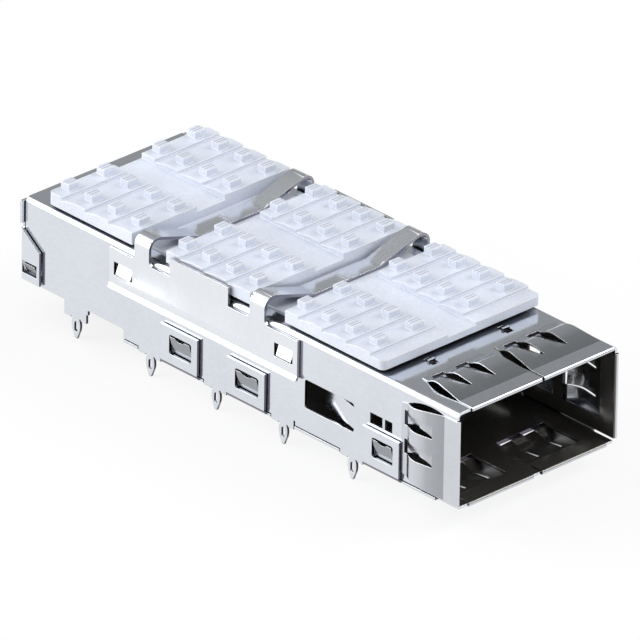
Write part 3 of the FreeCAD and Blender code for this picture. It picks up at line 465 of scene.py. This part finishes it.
def satin_aluminium(name, colour):
    """Machined aluminium with a fine satin blast, a painted highlight on the edges, painted shade in the
    hollows, and grooved fins.
    """
    make_effects()
    settings = finish_settings()
    material, bench, shader = new_material(name)
    satin = bench.effect("satin_grain", {"Across": 5000.0, "Along": 5000.0, "Tone": 0.3, "Gloss": 0.5,
                                         "Spread": 0.1})
    edges = bench.effect("round_edges", {"Radius": settings.edge_radius * 3})
    crevice = bench.effect("crevices", {"Reach": settings.crevice})
    blasted = bench.shade(colour, satin["Tone"])
    # Painted shade: a dark lavender grey mixed into the hollows that little light reaches.
    hollow_shaded = bench.blend(bench.math("MULTIPLY", crevice["Mask"], HOLLOW_SHADE_PART), blasted, SINK_HOLLOW_SHADE)
    # Painted highlight: the rounded edges of the heat sink are blended towards near-white.
    highlighted = bench.blend(edges["Edge"], hollow_shaded, EDGE_HIGHLIGHT_SINK)
    grooved = bench.blend(bench.math("MULTIPLY", fin_grooves(bench), GROOVE_PART), highlighted, SINK_GROOVE)
    bench.feed(shader.inputs["Base Color"], grooved)
    shader.inputs["Metallic"].default_value = 0.15
    feed_surface(bench, shader, satin, edges, relief=0.35)
    return material


def dress(piece, material):
    """Gives a node or piece one material all over."""
    piece.data.materials.clear()
    piece.data.materials.append(material)


class CAGE_OT_finish_sheets(bpy.types.Operator):
    """Finish the folded sheets of the cage"""

    bl_idname = "cage.finish_sheets"
    bl_label = "Finish cage sheets"

    def execute(self, context):
        settings = finish_settings()
        rolled = {"gloss": 0.15, "edge_highlight": 0.5, "grain": (5000.0, 1800.0), "sides": 0.2}
        shell = sheet_metal("shell_sheet", settings.sheet, settings.shell_cut_and_shade, **rolled,
                            painted_shade=("raised_catches", 0.55))
        plate = sheet_metal("plate_sheet", settings.sheet, settings.plate_cut_and_shade, **rolled, lean=-0.2)
        dress(NODES["cage_shell"], shell)
        dress(NODES["bottom_plate"], plate)
        dress(NODES["rear_cover"], plate)
        return {"FINISHED"}


class CAGE_OT_finish_springs(bpy.types.Operator):
    """Finish the contact springs round the mouth"""

    bl_idname = "cage.finish_springs"
    bl_label = "Finish contact springs"

    def execute(self, context):
        settings = finish_settings()
        spring = sheet_metal("spring_sheet", settings.spring, settings.shell_cut_and_shade, gloss=0.2, edge_highlight=0.9,
                             grain=(6000.0, 1500.0), painted_shade=("bowed_sheet", 0.42))
        for name in SPRINGS:
            dress(NODES[name], spring)
        return {"FINISHED"}


class CAGE_OT_finish_sink(bpy.types.Operator):
    """Finish the heat sink"""

    bl_idname = "cage.finish_sink"
    bl_label = "Finish heat sink"

    def execute(self, context):
        dress(NODES["heat_sink"], satin_aluminium("sink_aluminium", finish_settings().sink))
        return {"FINISHED"}


def cut_across(shape, place, normal, **options):
    """Cuts a shape along an upright plane, at a place on X."""
    bmesh.ops.bisect_plane(shape, geom=shape.verts[:] + shape.edges[:] + shape.faces[:], dist=ON_PLANE,
                           plane_co=(place, 0, 0), plane_no=(normal, 0, 0), **options)


def clip_half(name, side):
    """Half of the heat sink clip, with its straps divided into slices across."""
    source = NODES["heat_sink_clip"]
    shape = bmesh.new()
    shape.from_mesh(source.data)
    shape.transform(source.matrix_world)
    bmesh.ops.remove_doubles(shape, verts=shape.verts, dist=SAME_POINT)
    cut_across(shape, 0, side, clear_inner=True)
    bmesh.ops.holes_fill(shape, edges=[edge for edge in shape.edges if edge.is_boundary], sides=0)
    for number in range(1, CLIP_SLICES + 1):
        cut_across(shape, side * number * CLIP_SLICE, 1)
    bmesh.ops.recalc_face_normals(shape, faces=shape.faces)
    mesh = bpy.data.meshes.new(name)
    shape.to_mesh(mesh)
    shape.free()
    mesh.polygons.foreach_set("use_smooth", [True] * len(mesh.polygons))
    mesh.set_sharp_from_angle(angle=SHARP)
    piece = bpy.data.objects.new(name, mesh)
    bpy.context.collection.objects.link(piece)
    return piece


class CAGE_OT_make_clip(bpy.types.Operator):
    """Make the heat sink clip in two halves, with their straps divided into slices"""

    bl_idname = "cage.make_clip"
    bl_label = "Make heat sink clip"

    def execute(self, context):
        settings = finish_settings()
        steel = sheet_metal("clip_steel", settings.clip, settings.clip_cut_and_shade, gloss=0.22, edge_highlight=0.6,
                            grain=(2500.0, 9000.0))
        for name, side in (("clip_left", -1), ("clip_right", 1)):
            half = clip_half(name, side)
            dress(half, steel)
            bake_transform(half)
            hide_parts("heat_sink_clip")
        return {"FINISHED"}


def add_softbox(name, place, extent, power):
    """A rectangular lamp that shines on the object."""
    data = bpy.data.lights.new(name, "AREA")
    data.shape = "RECTANGLE"
    data.size = extent[0]
    data.size_y = extent[1]
    data.energy = power
    lamp = bpy.data.objects.new(name, data)
    lamp.location = place
    lamp.rotation_euler = (-Vector(place)).to_track_quat("-Z", "Y").to_euler()
    bpy.context.collection.objects.link(lamp)


def add_camera(settings):
    """The camera at the photograph's angle."""
    azimuth = settings.azimuth
    elevation = settings.elevation
    back = Vector((math.sin(azimuth) * math.cos(elevation), -math.cos(azimuth) * math.cos(elevation),
                   math.sin(elevation)))
    data = bpy.data.cameras.new("camera")
    data.sensor_width = SENSOR_MM
    data.lens = settings.focal
    data.clip_end = CAMERA_REACH
    camera = bpy.data.objects.new("camera", data)
    bpy.context.collection.objects.link(camera)
    turn = (-back).to_track_quat("-Z", "Y").to_matrix().to_4x4()
    roll = Matrix.Rotation(settings.roll, 4, "Z")
    camera.matrix_world = Matrix.Translation(LOOKED_AT + back * settings.distance) @ turn @ roll
    bpy.context.scene.camera = camera


def add_floor(settings):
    """White paper that keeps a pale shadow and shows white in the metal too."""
    low = CAD_BOX[0][2]
    corners = [(x * FLOOR_REACH, y * FLOOR_REACH, low) for x, y in ((-1, -1), (1, -1), (1, 1), (-1, 1))]
    mesh = bpy.data.meshes.new("floor")
    mesh.from_pydata(corners, [], [(0, 1, 2, 3)])
    floor = bpy.data.objects.new("floor", mesh)
    bpy.context.collection.objects.link(floor)
    material, bench, shader = new_material("paper")
    fibre = bench.add("ShaderNodeTexNoise", {"Scale": 60.0, "Detail": 2.0})
    white = bench.blend(fibre.outputs["Fac"], PAPER_GREY, PAPER_WHITE)
    bench.feed(shader.inputs["Base Color"], white)
    shader.inputs["Roughness"].default_value = 0.9
    glow = bench.add("ShaderNodeEmission", {"Color": (1.0, 1.0, 1.0), "Strength": 1.0})
    path = bench.add("ShaderNodeLightPath")
    seen = bench.math("MAXIMUM", path.outputs["Is Camera Ray"], path.outputs["Is Glossy Ray"])
    seen = bench.math("MAXIMUM", seen, path.outputs["Is Transmission Ray"])
    mixed = bench.add("ShaderNodeMixShader", {0: bench.math("MULTIPLY", seen, settings.paper),
                                              1: shader.outputs["BSDF"], 2: glow.outputs[0]})
    output = next(node for node in bench.tree.nodes if node.type == "OUTPUT_MATERIAL")
    bench.feed(output.inputs["Surface"], mixed.outputs[0])
    dress(floor, material)


def add_studio(settings):
    """A plain grey studio round the object."""
    world = bpy.data.worlds.new("studio")
    world.use_nodes = True
    background = world.node_tree.nodes["Background"]
    background.inputs["Color"].default_value = STUDIO_COLOUR
    background.inputs["Strength"].default_value = settings.world
    bpy.context.scene.world = world


class CAGE_OT_set_stage(bpy.types.Operator):
    """Set up the floor, lights and camera"""

    bl_idname = "cage.set_stage"
    bl_label = "Set stage"

    def execute(self, context):
        settings = stage_settings()
        context.scene.view_settings.view_transform = "Standard"
        add_camera(settings)
        add_floor(settings)
        add_studio(settings)
        for name, place, extent in SOFTBOXES:
            add_softbox(f"{name}_softbox", place, extent, getattr(settings, name))
        return {"FINISHED"}


class CAGE_PT_looks(bpy.types.Panel):
    """Sidebar panel that lists the steps."""

    bl_label = "Cage looks"
    bl_idname = "CAGE_PT_looks"
    bl_space_type = "VIEW_3D"
    bl_region_type = "UI"
    bl_category = "Cage"

    def draw(self, context):
        for step in STEPS:
            self.layout.operator(step.bl_idname)


STEPS = (CAGE_OT_finish_sheets, CAGE_OT_finish_springs, CAGE_OT_finish_sink, CAGE_OT_make_clip,
         CAGE_OT_set_stage)
CLASSES = (FinishSettings, StageSettings, *STEPS, CAGE_PT_looks)


def register():
    for item in CLASSES:
        bpy.utils.register_class(item)
    bpy.types.Scene.cage_finish = bpy.props.PointerProperty(type=FinishSettings)
    bpy.types.Scene.cage_stage = bpy.props.PointerProperty(type=StageSettings)


def unregister():
    del bpy.types.Scene.cage_stage
    del bpy.types.Scene.cage_finish
    for item in reversed(CLASSES):
        bpy.utils.unregister_class(item)


def main():
    register()
    bpy.ops.cage.finish_sheets()
    bpy.ops.cage.finish_springs()
    bpy.ops.cage.finish_sink()
    bpy.ops.cage.make_clip()
    bpy.ops.cage.set_stage()


if __name__ == "__main__":
    main()
